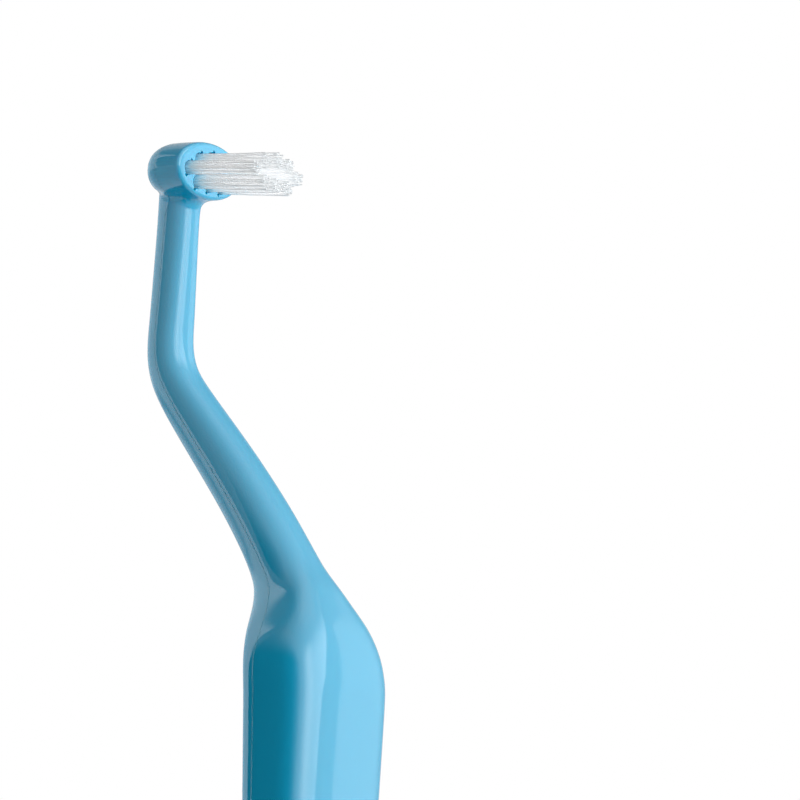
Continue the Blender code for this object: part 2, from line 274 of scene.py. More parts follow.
class Nodes:
    """Fills a node tree. What goes into a node is another node's socket or a plain value."""

    def __init__(self, tree: NodeTree) -> None:
        """Keep the tree."""
        self.tree = tree

    def put(self, value: Value, target: NodeSocket) -> None:
        """Link a socket to an input or write a plain value there, a colour without its alpha.

        Args:
            value: The socket or the value.
            target: The input.
        """
        if isinstance(value, NodeSocket):
            self.tree.links.new(value, target)
        else:
            target.default_value = (*value, 1.0) if target.type == "RGBA" else value

    def add(self, kind: str, inputs: dict[str | int, Value] | None = None, **settings: object) -> Node:
        """Add a node.

        Args:
            kind: The node's type name, without the word ShaderNode before it.
            inputs: What goes into its inputs, by their names or numbers.
            settings: Values for the node's own properties.

        Returns:
            The new node.
        """
        node = self.tree.nodes.new("ShaderNode" + kind)
        for name, value in settings.items():
            setattr(node, name, value)
        for name, value in (inputs or {}).items():
            self.put(value, node.inputs[name])
        return node

    def ray(self, kind: Ray) -> NodeSocket:
        """Return the socket that is 1 for one kind of ray."""
        return self.add("LightPath").outputs[kind.value]

    def along(self, place: NodeSocket, axis: Vector) -> NodeSocket:
        """Return how far a place lies along an axis."""
        return self.add("VectorMath", {0: place, 1: axis}, operation="DOT_PRODUCT").outputs["Value"]

    def math(self, operation: str, *values: NodeSocket | float) -> NodeSocket:
        """Return what a Math node's operation makes of its values."""
        return self.add("Math", dict(enumerate(values)), operation=operation).outputs["Value"]

    def fold(self, operation: str, values: Iterable[NodeSocket | float]) -> NodeSocket:
        """Return what a Math node's operation makes of many values, two at a time."""
        return reduce(lambda total, value: self.math(operation, total, value), values)

    def lifted(self, share: NodeSocket, start: float) -> NodeSocket:
        """Return a value that rises from start, where the share is 0, to 1."""
        return self.math("MULTIPLY_ADD", share, 1 - start, start)

    def spread(self, value: NodeSocket, start: float, end: float, low: float = 0.0, high: float = 1.0,
               form: str = "LINEAR") -> NodeSocket:
        """Turn one range of values into another.

        Args:
            value: The value.
            start: The value that gives the low result.
            end: The value that gives the high result.
            low: The result at the start and beyond it.
            high: The result at the end and beyond it.
            form: The Map Range node's interpolation.

        Returns:
            The result's socket.
        """
        inputs = {"Value": value, "From Min": start, "From Max": end, "To Min": low, "To Max": high}
        return self.add("MapRange", inputs, interpolation_type=form).outputs["Result"]

    def step(self, value: NodeSocket, none: float, full: float) -> NodeSocket:
        """Return a smooth step from 0, where the value is none, to 1, where it is full."""
        return self.spread(value, none, full, form="SMOOTHSTEP")

    def ramp(self, value: NodeSocket, stops: Iterable[tuple[float, Colour]]) -> NodeSocket:
        """Turn a value into a colour.

        Args:
            value: The value, from 0 to 1.
            stops: The ramp's places and their colours, in rising order.

        Returns:
            The colour's socket.
        """
        ramp = self.add("ValToRGB", {"Fac": value})
        elements = ramp.color_ramp.elements
        while len(elements) > 1:
            elements.remove(elements[-1])
        for index, (share, colour) in enumerate(stops):
            stop = elements.new(share) if index else elements[0]
            stop.position = share
            stop.color = (*colour, 1.0)
        return ramp.outputs["Color"]

    def mixed(self, share: Value, first: Value, second: Value, way: str = "MIX") -> NodeSocket:
        """Mix two colours.

        Args:
            share: The share of the second colour.
            first: The first colour.
            second: The second colour.
            way: The Mix node's blend type.

        Returns:
            The colour's socket.
        """
        inputs = {"Factor": share, "A": first, "B": second}
        return self.add("Mix", inputs, data_type="RGBA", blend_type=way).outputs["Result"]

    def either(self, share: NodeSocket, first: Node, second: Node) -> Node:
        """Return a shader that passes from the first, where the share is 0, to the second."""
        return self.add("MixShader", {"Fac": share, 1: first.outputs[0], 2: second.outputs[0]})


class Sheet(Nodes):
    """A material's node tree, with its Principled shader."""

    NOISE_MIDDLE = (0.3, 0.7)

    def __init__(self, name: str) -> None:
        """Start a material.

        Args:
            name: The material's name.
        """
        self.material = bpy.data.materials.new(name)
        self.material.use_nodes = True
        super().__init__(self.material.node_tree)
        self.shader = self.tree.nodes["Principled BSDF"]

    def set(self, **values: Value) -> None:
        """Fill the shader's own inputs, named with underscores for spaces."""
        for name, value in values.items():
            self.put(value, self.shader.inputs[name.replace("_", " ")])

    def place(self) -> NodeSocket:
        """Return the place on the piece, in its own coordinates."""
        return self.add("TexCoord").outputs["Object"]

    def noise(self, scale: Vector, detail: float, seed: float) -> NodeSocket:
        """Add a noise pattern in the piece's own coordinates.

        Args:
            scale: How many features a metre holds along each axis.
            detail: The noise's detail.
            seed: A shift that keeps this pattern apart from the others.

        Returns:
            The noise's value socket.
        """
        mapping = self.add("Mapping", {"Vector": self.place(), "Scale": scale, "Location": [seed] * 3})
        inputs = {"Vector": mapping.outputs["Vector"], "Scale": 1.0, "Detail": detail}
        return self.add("TexNoise", inputs).outputs["Fac"]

    def ranged(self, noise: NodeSocket, low: float, high: float) -> NodeSocket:
        """Return a value that the middle of a noise's range takes from low to high."""
        return self.spread(noise, *self.NOISE_MIDDLE, low, high)

    def bump(self, height: NodeSocket, distance: float, strength: float) -> None:
        """Give the shader a bump.

        Args:
            height: The height's socket, from 0 to 1.
            distance: The real height of the bumps, in metres.
            strength: The share of it that shows.
        """
        bump = self.add("Bump", {"Distance": distance, "Strength": strength, "Height": height})
        self.set(Normal=bump.outputs["Normal"])


class Finish(Protocol):
    """Anything that makes a material."""

    def material(self) -> Material:
        """Return the finish's material."""


@dataclass(frozen=True)
class BluePlastic:
    """Opaque sky-blue moulding with a polished surface and faint flow marks."""

    deep: Colour = (0.008, 0.390, 0.640)
    light: Colour = (0.010, 0.410, 0.660)
    polish: tuple[float, float] = (0.055, 0.095)
    flow_scale: Vector = field(default_factory=lambda: Vector((260.0, 260.0, 45.0)))
    haze_scale: Vector = field(default_factory=lambda: Vector((900.0, 900.0, 500.0)))
    ripple_scale: Vector = field(default_factory=lambda: Vector((170.0, 170.0, 60.0)))
    ripple_height: float = 0.00001
    ripple_strength: float = 0.12
    scatter_share: float = 0.30
    scatter: Colour = (0.0004, 0.0012, 0.0015)
    ior: float = 1.50

    def material(self) -> Material:
        """Make the plastic.

        Returns:
            The material.
        """
        sheet = Sheet("blue_plastic")
        flow = sheet.noise(self.flow_scale, detail=3.0, seed=0.0)
        haze = sheet.noise(self.haze_scale, detail=4.0, seed=3.0)
        ripple = sheet.noise(self.ripple_scale, detail=1.0, seed=7.0)
        sheet.bump(ripple, self.ripple_height, self.ripple_strength)
        sheet.set(Base_Color=sheet.mixed(flow, self.deep, self.light),
                  Roughness=sheet.ranged(haze, *self.polish), IOR=self.ior,
                  Subsurface_Weight=self.scatter_share, Subsurface_Radius=self.scatter, Subsurface_Scale=1.0)
        return sheet.material


@dataclass(frozen=True)
class ClearNylon:
    """Clear drawn filament with painted shade in fine lengthwise streaks, and a painted blue reflection of
    the moulding near its root.

    Painted shade makes it a little darker towards its tip.
    """

    seat: Matrix
    clear: Colour = (0.98, 0.98, 0.98)
    # painted shade: the darker streak colour stands in for the shade between the filaments
    painted_streak_shade: Colour = (0.94, 0.95, 0.96)
    haze: tuple[float, float] = (0.30, 0.50)
    streak_scale: Vector = field(default_factory=lambda: Vector((9000.0, 700.0, 9000.0)))
    transmission: float = 0.20
    # painted light along the filament: a painted blue reflection of the moulding near the root, painted
    # shade towards the tip
    painted_light_reach: float = 0.0086
    painted_light_stops: tuple[tuple[float, Colour], ...] = (
        (0.0, (0.55, 0.85, 0.96)), (0.08, (0.85, 0.96, 1.0)), (0.18, (0.96, 0.99, 1.0)),
        (0.36, (1.0, 1.0, 1.0)), (0.86, (0.98, 0.98, 0.98)), (1.0, (0.86, 0.88, 0.89)))
    ior: float = 1.53

    def material(self) -> Material:
        """Make the nylon.

        Returns:
            The material.
        """
        sheet = Sheet("clear_nylon")
        streak = sheet.noise(self.streak_scale, detail=2.0, seed=1.0)
        # painted shade: fine lengthwise streaks of the darker colour stand in for the shade between the
        # filaments
        shade_streaked = sheet.mixed(streak, self.clear, self.painted_streak_shade)
        # the colour is multiplied by the painted blue reflection near the root and the painted shade towards
        # the tip
        sheet.set(Base_Color=sheet.mixed(1.0, shade_streaked, self.painted_light(sheet), way="MULTIPLY"),
                  Roughness=sheet.ranged(streak, *self.haze), IOR=self.ior,
                  Transmission_Weight=self.transmission)
        return sheet.material

    def painted_light(self, sheet: Sheet) -> NodeSocket:
        """Make the painted light along the filament: a painted blue reflection of the moulding near the root
        and painted shade towards the tip.

        Args:
            sheet: The material that it is made in.

        Returns:
            The painted colour's socket.
        """
        outward = self.seat.col[2].xyz
        face = outward.dot(self.seat.translation)
        along = sheet.spread(sheet.along(sheet.place(), outward), face, face + self.painted_light_reach)
        return sheet.ramp(along, self.painted_light_stops)


@dataclass(frozen=True)
class BrassStrip:
    """Bright brass with fine marks of the cutting and driving."""

    bright: Colour = (0.74, 0.50, 0.20)
    dull: Colour = (0.46, 0.28, 0.10)
    polish: tuple[float, float] = (0.18, 0.42)
    grain_scale: Vector = field(default_factory=lambda: Vector((6000.0, 1500.0, 6000.0)))
    grain_height: float = 0.000008
    grain_strength: float = 0.4

    def material(self) -> Material:
        """Make the brass.

        Returns:
            The material.
        """
        sheet = Sheet("brass_strip")
        grain = sheet.noise(self.grain_scale, detail=5.0, seed=2.0)
        sheet.bump(grain, self.grain_height, self.grain_strength)
        sheet.set(Base_Color=sheet.mixed(grain, self.bright, self.dull),
                  Roughness=sheet.ranged(grain, *self.polish), Metallic=1.0)
        return sheet.material


@dataclass(frozen=True)
class Section:
    """A level cross-section of the handle or neck, widest behind its middle where the mould parts."""

    height: float
    centre: float
    width: float
    depth: float
    boxiness: float = 0.0
    parting: float = 0.0

    ROUND = (2.3, 2.3)
    BOX = (3.5, 4.0)

    def places(self, count: int) -> list[Vector]:
        """Make the ring of the section.

        Args:
            count: The number of its vertices.

        Returns:
            Their places, from the back round by the left.
        """
        front, back = (blend(*pair, self.boxiness) for pair in zip(self.ROUND, self.BOX))
        growth = swell(count, (front + back) / 2)
        result = []
        for before, behind in zip(oval(count, front, math.pi / 2), oval(count, back, math.pi / 2)):
            x, y = behind if behind[1] > 0 else before
            reach = self.depth * (0.5 - self.parting if y > 0 else 0.5 + self.parting)
            along = self.centre + self.depth * self.parting + y * reach * growth
            result.append(Vector((x * self.width / 2 * growth, along, self.height)))
        return result


@dataclass(frozen=True)
class Head:
    """The oval head in the frame of its face: X along the width, Y up, Z out along the bristles."""

    width: float = 0.01130
    height: float = 0.00580
    wall_depth: float = 0.0029
    dome_depth: float = 0.0028
    tilt: float = math.radians(5.5)
    heel_drop: float = 0.00058
    rim_radius: float = 0.0004
    face_squareness: float = 2.05
    dome_squareness: float = 2.3
    points: int = 40
    rim_steps: int = 4
    row_front: float = 0.00078
    row_back_share: float = 0.93
    last_row_share: float = 0.975
    rows: int = 10
    opening_columns: int = 3

    FACE_RINGS = (0.8, 0.5, 0.25)

    @property
    def depth(self) -> float:
        """Return the depth from the face to the back of the dome."""
        return self.wall_depth + self.dome_depth

    def squareness(self, depth: float) -> float:
        """Return the squareness of the ring at a depth behind the face."""
        return blend(self.face_squareness, self.dome_squareness, depth / self.depth)

    def drop(self, depth: float) -> float:
        """Return how far the ring at a depth sags."""
        return self.heel_drop * (depth / self.depth) ** 2

    def scale(self, depth: float) -> float:
        """Return the size of the ring at a depth as a share of the wall's."""
        rise = max((depth - self.wall_depth) / self.dome_depth, 0.0)
        return max(1 - rise ** 2, 0.0) ** (1 / self.dome_squareness)

    def ring(self, depth: float, inset: float = 0.0, share: float = 1.0) -> list[Vector]:
        """Make a ring of the head.

        Args:
            depth: The depth behind the face.
            inset: How far the ring lies inside the wall.
            share: A further factor on its size.

        Returns:
            The places of its vertices, from the bottom round by the right.
        """
        squareness = self.squareness(depth)
        size = self.scale(depth) * swell(self.points, squareness) * share
        across, up = (self.width / 2 - inset) * size, (self.height / 2 - inset) * size
        return [
            Vector((x * across, y * up - self.drop(depth), -depth))
            for x, y in oval(self.points, squareness, -math.pi / 2)
        ]

    def underside(self, across: float, depth: float) -> float:
        """Work out the lower surface.

        Args:
            across: The place across the head.
            depth: The depth behind its face.

        Returns:
            The surface's height there.
        """
        squareness = self.squareness(depth)
        room = self.scale(depth) ** squareness - abs(across / (self.width / 2)) ** squareness
        return -self.height / 2 * max(room, 0.0) ** (1 / squareness) - self.drop(depth)

    def dome_point(self, place: Vector) -> Vector:
        """Move a place of the dome's cap onto its surface.

        Args:
            place: The rough place.

        Returns:
            The place on the surface.
        """
        across = abs(place.x / (self.width / 2)) ** self.dome_squareness
        up = abs((place.y + self.heel_drop) / (self.height / 2)) ** self.dome_squareness
        rise = math.sqrt(max(1 - across - up, 0.0))
        return Vector((place.x, place.y, -self.wall_depth - self.dome_depth * rise))


@dataclass
class Moulding:
    """The one-piece blue moulding: grip, slanted neck, upright neck and drilled head."""

    finish: Finish
    grip_length: float = 0.110
    grip_width: float = 0.0174
    grip_depth: float = 0.0088
    crest_lead: float = 0.00197
    grip_parting: float = 0.25
    butt_width: float = 0.0132
    butt_depth: float = 0.0060
    butt_rounding: float = 0.0030
    butt_flat_width: float = 0.0070
    butt_flat_depth: float = 0.0026
    rise_length: float = 0.036
    neck_setback: float = 0.0163
    elbow_width: float = 0.00484
    elbow_depth: float = 0.00432
    upper_length: float = 0.01755
    upper_lean: float = math.radians(4.1)
    top_width: float = 0.00390
    top_depth: float = 0.00420
    side_fillet: float = 0.00070
    front_fillet: float = 0.00115
    back_fillet: float = 0.00020
    points: int = 32
    head: Head = field(default_factory=Head)
    hole_diameter: float = 0.0015
    hole_depth: float = 0.0030
    hole_sides: int = 40
    mouth_rounding: float = 0.00005
    slot_length: float = 0.00205
    slot_width: float = 0.00038
    slot_depth: float = 0.0027
    slot_turn: float = math.radians(65.0)
    overrun: float = 0.0005
    smoothing_levels: int = 2
    sharp_angle: float = math.radians(38.0)

    # Shares of the grip's length, and of the way from the butt's width and depth to the grip's.
    GRIP_SHARES = (
        (0.10, 0.08, 0.00), (0.25, 0.23, 0.03), (0.42, 0.40, 0.08), (0.58, 0.56, 0.16),
        (0.73, 0.73, 0.38), (0.84, 0.845, 0.61), (0.90, 0.91, 0.75), (0.955, 0.96, 0.89),
        (1.00, 1.00, 1.00),
    )
    # Shares of the rise and of the way back, of the way from the elbow's width and depth to the
    # grip's, and then the boxiness and the parting.
    RISE_SHARES = (
        (0.083, 0.014, 0.960, 0.98, 1.00, 0.25), (0.167, 0.055, 0.737, 0.98, 0.85, 0.15),
        (0.236, 0.114, 0.428, 0.905, 0.50, -0.08), (0.292, 0.160, 0.225, 0.785, 0.30, -0.12),
        (0.347, 0.220, 0.166, 0.67, 0.10, 0.00), (0.417, 0.300, 0.150, 0.63, 0.0, 0.0),
        (0.528, 0.437, 0.124, 0.61, 0.0, 0.0), (0.667, 0.631, 0.091, 0.57, 0.0, 0.0),
        (0.778, 0.794, 0.062, 0.47, 0.0, 0.0), (0.861, 0.909, 0.037, 0.32, 0.0, 0.0),
        (0.931, 0.981, 0.016, 0.09, 0.0, 0.0), (1.000, 1.000, 0.000, 0.00, 0.0, 0.0),
    )
    UPPER_SHARES = (0.14, 0.32, 0.50, 0.66)
    BUTT_ANGLES = (70.0, 48.0, 24.0, 0.0)
    MOUTH_ANGLES = (30.0, 60.0, 90.0)
    # Shares of the collar's fillet, outwards from the neck and below the head.
    COLLAR_SHARES = ((0.0, 1.0), (0.12, 0.5), (0.45, 0.12), (1.0, 0.0))
    # Places of the holes in half widths and half heights of the head.
    HOLE_SHARES = {
        "outer_left": (-0.676, -0.05), "upper_left": (-0.375, 0.30), "upper_centre": (0.0, 0.417),
        "upper_right": (0.375, 0.30), "outer_right": (0.676, -0.05), "lower_right": (0.375, -0.466),
        "lower_centre": (0.0, -0.497), "lower_left": (-0.375, -0.466),
    }

    def butt_sections(self) -> list[Section]:
        """Make the sections of the butt's rounding.

        Returns:
            The sections, from the flat upwards.
        """
        result = []
        for angle in map(math.radians, self.BUTT_ANGLES):
            out = math.cos(angle)
            result.append(Section(
                self.butt_rounding * (1 - math.sin(angle)), 0.0,
                blend(self.butt_flat_width, self.butt_width, out),
                blend(self.butt_flat_depth, self.butt_depth, out), out, self.grip_parting * out))
        return result

    def grip_sections(self) -> list[Section]:
        """Make the sections of the grip, whose back is straight.

        Returns:
            The sections, from the butt upwards.
        """
        return [
            Section(
                self.grip_length * along, -self.crest_lead * deeper,
                blend(self.butt_width, self.grip_width, wider),
                blend(self.butt_depth, self.grip_depth, deeper), 1.0, self.grip_parting)
            for along, wider, deeper in self.GRIP_SHARES
        ]

    def rise_sections(self) -> list[Section]:
        """Make the sections over the shoulder and up the slanted neck.

        Returns:
            The sections, from the grip to the elbow.
        """
        return [
            Section(
                self.grip_length + self.rise_length * along,
                blend(-self.crest_lead, self.neck_setback, back),
                blend(self.elbow_width, self.grip_width, wider),
                blend(self.elbow_depth, self.grip_depth, deeper), boxiness, parting)
            for along, back, wider, deeper, boxiness, parting in self.RISE_SHARES
        ]

    def upper_section(self, share: float) -> Section:
        """Make a section of the upright neck, which leans forwards as it rises.

        Args:
            share: The share of its length.

        Returns:
            The section.
        """
        climb = self.upper_length * share
        taper = min(share / self.UPPER_SHARES[-1], 1.0)
        return Section(
            self.grip_length + self.rise_length + climb,
            self.neck_setback - climb * math.tan(self.upper_lean),
            blend(self.elbow_width, self.top_width, taper),
            blend(self.elbow_depth, self.top_depth, taper))

    @staticmethod
    def halfway(sections: list[Section]) -> list[Section]:
        """Put one more section between each two, on a smooth curve through them.

        Args:
            sections: The sections, in order.

        Returns:
            The old and new sections, in order.
        """
        rows = [astuple(section) for section in sections]
        result = [sections[0]]
        for index, (start, end) in enumerate(zip(rows, rows[1:])):
            before, after = rows[max(index - 1, 0)], rows[min(index + 2, len(rows) - 1)]
            middle = [(9 * (b + c) - a - d) / 16 for a, b, c, d in zip(before, start, end, after)]
            result += [Section(*middle), sections[index + 1]]
        return result

    def head_frame(self) -> Matrix:
        """Work out the frame of the head's face.

        Returns:
            The matrix from that frame to the brush's.
        """
        top = self.upper_section(1.0)
        face = top.centre + self.top_depth / 2 - self.head.depth * math.cos(self.head.tilt)
        turn = Matrix.Rotation(math.pi / 2 + self.head.tilt, 4, "X")
        return Matrix.Translation((0, face, top.height)) @ turn

    def head_ring(self, depth: float, inset: float = 0.0, share: float = 1.0) -> list[Vector]:
        """Return a ring of the head, as Head.ring does, in the brush's frame."""
        to_world = self.head_frame()
        return [to_world @ place for place in self.head.ring(depth, inset, share)]

    def butt(self, bm: BMesh) -> Skin:
        """Make the butt's flat and its rounding.

        Args:
            bm: The bmesh that they are made in.

        Returns:
            The skin, which ends where the grip begins.
        """
        flat = Section(0.0, 0.0, self.butt_flat_width, self.butt_flat_depth)
        inner = Section(0.0, 0.0, flat.width / 2, flat.depth / 2)
        skin = Skin(bm, flat.places(self.points))
        skin.cap([inner.places(self.points)], Vector((0, 0, 0)))
        skin.follow(section.places(self.points) for section in self.butt_sections())
        return skin

    def neck(self, skin: Skin) -> None:
        """Grow the grip, the shoulder and the neck.

        Args:
            skin: The skin, which ends on the butt.
        """
        grip = self.grip_sections()
        upper = [self.upper_section(share) for share in self.UPPER_SHARES]
        rise = self.halfway([grip[-1], *self.rise_sections(), upper[0]])
        skin.follow(section.places(self.points) for section in (*grip[:-1], *rise, *upper[1:]))

    def fillet(self, away: Vector) -> float:
        """Return the size of the collar's fillet in a direction away from the neck's middle."""
        end = self.back_fillet if away.y > 0 else self.front_fillet
        return blend(self.side_fillet, end, away.y ** 2)

    def collar(self, skin: Skin) -> None:
        """Grow the fillet that ends on the head's underside.

        Args:
            skin: The skin, which ends at the top of the neck.
        """
        head, to_world = self.head, self.head_frame()
        to_head = to_world.inverted()
        top = self.upper_section(self.UPPER_SHARES[-1])
        foot = [to_head @ place for place in top.places(self.points)]
        up = to_head.to_3x3() @ Vector((0, -math.sin(self.upper_lean), math.cos(self.upper_lean)))
        middle = -sum(place.z for place in foot) / len(foot)
        for out, below in self.COLLAR_SHARES:
            places = []
            for place in foot:
                away = Vector((place.x, -place.z - middle)).normalized()
                fillet = self.fillet(away)
                across = place.x + away.x * fillet * out
                depth = -place.z + away.y * fillet * out
                seat = min(depth, head.depth * head.row_back_share)
                height = head.underside(across, seat) - fillet * below
                shift = up * ((height - place.y) / up.y) * (1 - out)
                depth = min(depth - shift.z, blend(head.depth, seat, out))
                places.append(to_world @ Vector((across, height, -depth)))
            skin.grow(places)

    def head_skin(self, bm: BMesh) -> list[BMVert]:
        """Make the head with an opening for the neck.

        Args:
            bm: The bmesh that it is made in.

        Returns:
            The opening's vertices, from the back round by the left.
        """
        head, radius = self.head, self.head.rim_radius
        skin = Skin(bm, self.head_ring(0.0, radius))
        inner = [self.head_ring(0.0, radius, share) for share in head.FACE_RINGS]
        skin.cap(inner, self.head_frame().translation)
        for step in range(1, head.rim_steps + 1):
            angle = math.pi / 2 * step / head.rim_steps
            skin.grow(self.head_ring(radius * (1 - math.cos(angle)), radius * (1 - math.sin(angle))))
        last = head.depth * head.row_back_share
        depths = [blend(head.row_front, last, row / head.rows) for row in range(head.rows + 1)]
        rows = [skin.grow(self.head_ring(depth)) for depth in depths]
        skin.grow(self.head_ring(head.depth * head.last_row_share))
        self.cap_dome(skin)
        return self.open_underside(bm, rows)

    def cap_dome(self, skin: Skin) -> None:
        """Fill the dome's last ring with a grid and settle the grid on the dome's form.

        Args:
            skin: The head's skin.
        """
        to_world = self.head_frame()
        to_head = to_world.inverted()
        edges = skin.edges()
        side = len(edges) // 4
        half = side // 2
        lower = edges[-half:] + edges[:half]
        upper = edges[2 * side - half:2 * side + half]
        made = bmesh.ops.grid_fill(skin.bm, edges=lower + upper, use_interp_simple=False)
        for vertex in {vertex for face in made["faces"] for vertex in face.verts} - set(skin.ring):
            vertex.co = to_world @ self.head.dome_point(to_head @ vertex.co)

    def open_underside(self, bm: BMesh, rows: list[list[BMVert]]) -> list[BMVert]:
        """Delete the faces over the neck.

        Args:
            bm: The head's bmesh.
            rows: The rings of the wall, from the front, each from the bottom round by the right.

        Returns:
            The opening's vertices, from the back round by the left.
        """
        half = self.head.opening_columns
        columns = range(-half, half + 1)
        back, front = rows[-1], rows[0]
        border = [back[-column] for column in range(half + 1)]
        border += [row[-half] for row in reversed(rows[1:-1])]
        border += [front[column] for column in columns]
        border += [row[half] for row in rows[1:-1]]
        border += [back[column] for column in range(half, 0, -1)]
        inner = {row[column] for row in rows for column in columns}
        doomed = [face for row in rows for vertex in row for face in vertex.link_faces
                  if all(corner in inner for corner in face.verts)]
        bmesh.ops.delete(bm, geom=list(dict.fromkeys(doomed)), context="FACES")
        return border

    def hole_places(self) -> dict[str, Vector]:
        """Return the place of each tuft hole in the face's frame."""
        across, up = self.head.width / 2, self.head.height / 2
        return {name: Vector((across * x, up * y, 0)) for name, (x, y) in self.HOLE_SHARES.items()}

    def hole_cutter(self) -> Object:
        """Make the cutter of the tuft holes, turned from one profile, with rounded mouths.

        Returns:
            The cutter.
        """
        radius, lip = self.hole_diameter / 2, self.mouth_rounding
        outline = [(0.0, -self.hole_depth), (radius - lip, -self.hole_depth),
                   (radius, lip - self.hole_depth), (radius, -lip)]
        for turn in map(math.radians, self.MOUTH_ANGLES):
            outline.append((radius + lip * (1 - math.cos(turn)), lip * (math.sin(turn) - 1)))
        outline += [(radius + lip, self.overrun), (0.0, self.overrun)]
        bm = bmesh.new()
        for place in self.hole_places().values():
            points = [bm.verts.new(place + Vector((out, 0, up))) for out, up in outline]
            edges = [bm.edges.new(pair) for pair in zip(points, points[1:])]
            bmesh.ops.spin(bm, geom=points + edges, cent=place, axis=UP, angle=math.tau,
                           steps=self.hole_sides, use_merge=True)
        bmesh.ops.remove_doubles(bm, verts=bm.verts, dist=MERGE_DISTANCE)
        bmesh.ops.transform(bm, matrix=self.head_frame(), verts=bm.verts)
        return show(mesh_of("tuft_hole_cutter", bm))

    def slot_cutter(self) -> Object:
        """Make the cutter of the slots that the anchors are driven through.

        Returns:
            The cutter.
        """
        top = 2 * self.overrun
        size = Matrix.Diagonal((self.slot_length, self.slot_width, self.slot_depth + top, 1.0))
        turn = Matrix.Rotation(self.slot_turn, 4, "Z")
        bm = bmesh.new()
        for place in self.hole_places().values():
            middle = place + Vector((0, 0, (top - self.slot_depth) / 2))
            bmesh.ops.create_cube(bm, size=1.0, matrix=Matrix.Translation(middle) @ turn @ size)
        bmesh.ops.transform(bm, matrix=self.head_frame(), verts=bm.verts)
        return show(mesh_of("anchor_slot_cutter", bm))

    def drill(self, piece: Object) -> None:
        """Cut the holes and their slots.

        Args:
            piece: The moulding's object.
        """
        holes = self.hole_cutter()
        combine(holes, self.slot_cutter(), Boolean.JOIN)
        combine(piece, holes, Boolean.CUT)

    def build(self) -> Object:
        """Build, drill and dress the moulding.

        Returns:
            The moulding's object.
        """
        bm = bmesh.new()
        skin = self.butt(bm)
        self.neck(skin)
        self.collar(skin)
        border = self.head_skin(bm)
        for vertex, other in zip(border, skin.ring):
            vertex.co = other.co
        bmesh.ops.remove_doubles(bm, verts=skin.ring + border, dist=MERGE_DISTANCE)
        piece = show(mesh_of("moulding", bm))
        smooth = piece.modifiers.new("smooth form", "SUBSURF")
        smooth.levels = smooth.render_levels = self.smoothing_levels
        self.drill(piece)
        piece.data.shade_smooth()
        piece.data.set_sharp_from_angle(angle=self.sharp_angle)
        dress(piece, self.finish.material())
        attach(piece, BODY)
        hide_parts("handle")
        return piece


@dataclass
class PartingLine:
    """The fine ridge that the two halves of the mould leave round the moulding's outline."""

    moulding: Moulding
    width: float = 0.00014
    height: float = 0.000016
    step: float = 0.0005
    head_depth: float = 0.0030
    neck_reach: float = 0.0027
    neck_share: float = 0.09
    top_share: float = 0.80
    smoothings: int = 8
    sides: int = 6
    taper_steps: int = 6

    def side(self) -> list[Vector]:
        """Make a rough path up the left side.

        Returns:
            Its places, from the butt to the head.
        """
        form = self.moulding
        upper = [form.upper_section(share) for share in (*form.UPPER_SHARES, self.top_share)]
        sections = (*form.butt_sections()[1:], *form.grip_sections(), *form.rise_sections(), *upper)
        return [
            Vector((-section.width / 2,
                    section.centre + section.depth * max(section.parting, self.neck_share),
                    section.height))
            for section in sections
        ]

    def path(self) -> list[Vector]:
        """Make the whole path: up the left side, over the head and down the right side.

        Returns:
            Its places, in short and even steps.
        """
        head, to_world = self.moulding.head, self.moulding.head_frame()
        round_head = [
            to_world @ place for place in reversed(head.ring(self.head_depth))
            if abs(place.x) > self.neck_reach or place.y > 0
        ]
        left = self.side()
        right = [Vector((-place.x, place.y, place.z)) for place in reversed(left)]
        rough = left + round_head + right
        path = [rough[0]]
        for start, end in zip(rough, rough[1:]):
            count = max(round((end - start).length / self.step), 1)
            path += [start.lerp(end, index / count) for index in range(1, count + 1)]
        for _ in range(self.smoothings):
            inner = [(a + 2 * b + c) / 4 for a, b, c in zip(path, path[1:], path[2:])]
            path = [path[0], *inner, path[-1]]
        return path

    def build(self, body: Object) -> Object:
        """Lay the ridge on the moulding's surface.

        Args:
            body: The moulding's object.

        Returns:
            The ridge's object.
        """
        mesh = body.data
        tree = BVHTree.FromPolygons([vertex.co for vertex in mesh.vertices],
                                    [tuple(face.vertices) for face in mesh.polygons])
        hits = [tree.find_nearest(place)[:2] for place in self.path()]
        rings = []
        for index, (place, normal) in enumerate(hits):
            before, after = hits[max(index - 1, 0)][0], hits[min(index + 1, len(hits) - 1)][0]
            across = (after - before).cross(normal).normalized()
            size = min(1.0, (index + 1) / self.taper_steps, (len(hits) - index) / self.taper_steps)
            rings.append([place + across * (x * self.width / 2 * size) + normal * (y * self.height * size)
                          for x, y in oval(self.sides, 2.0, 0.0)])
        bm = bmesh.new()
        skin = Skin(bm, rings[0])
        skin.cap((), hits[0][0])
        skin.follow(rings[1:])
        skin.close(hits[-1][0])
        piece = show(mesh_of("parting_line", bm))
        piece.data.shade_smooth()
        dress(piece, mesh.materials[0])
        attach(piece, BODY)
        return piece


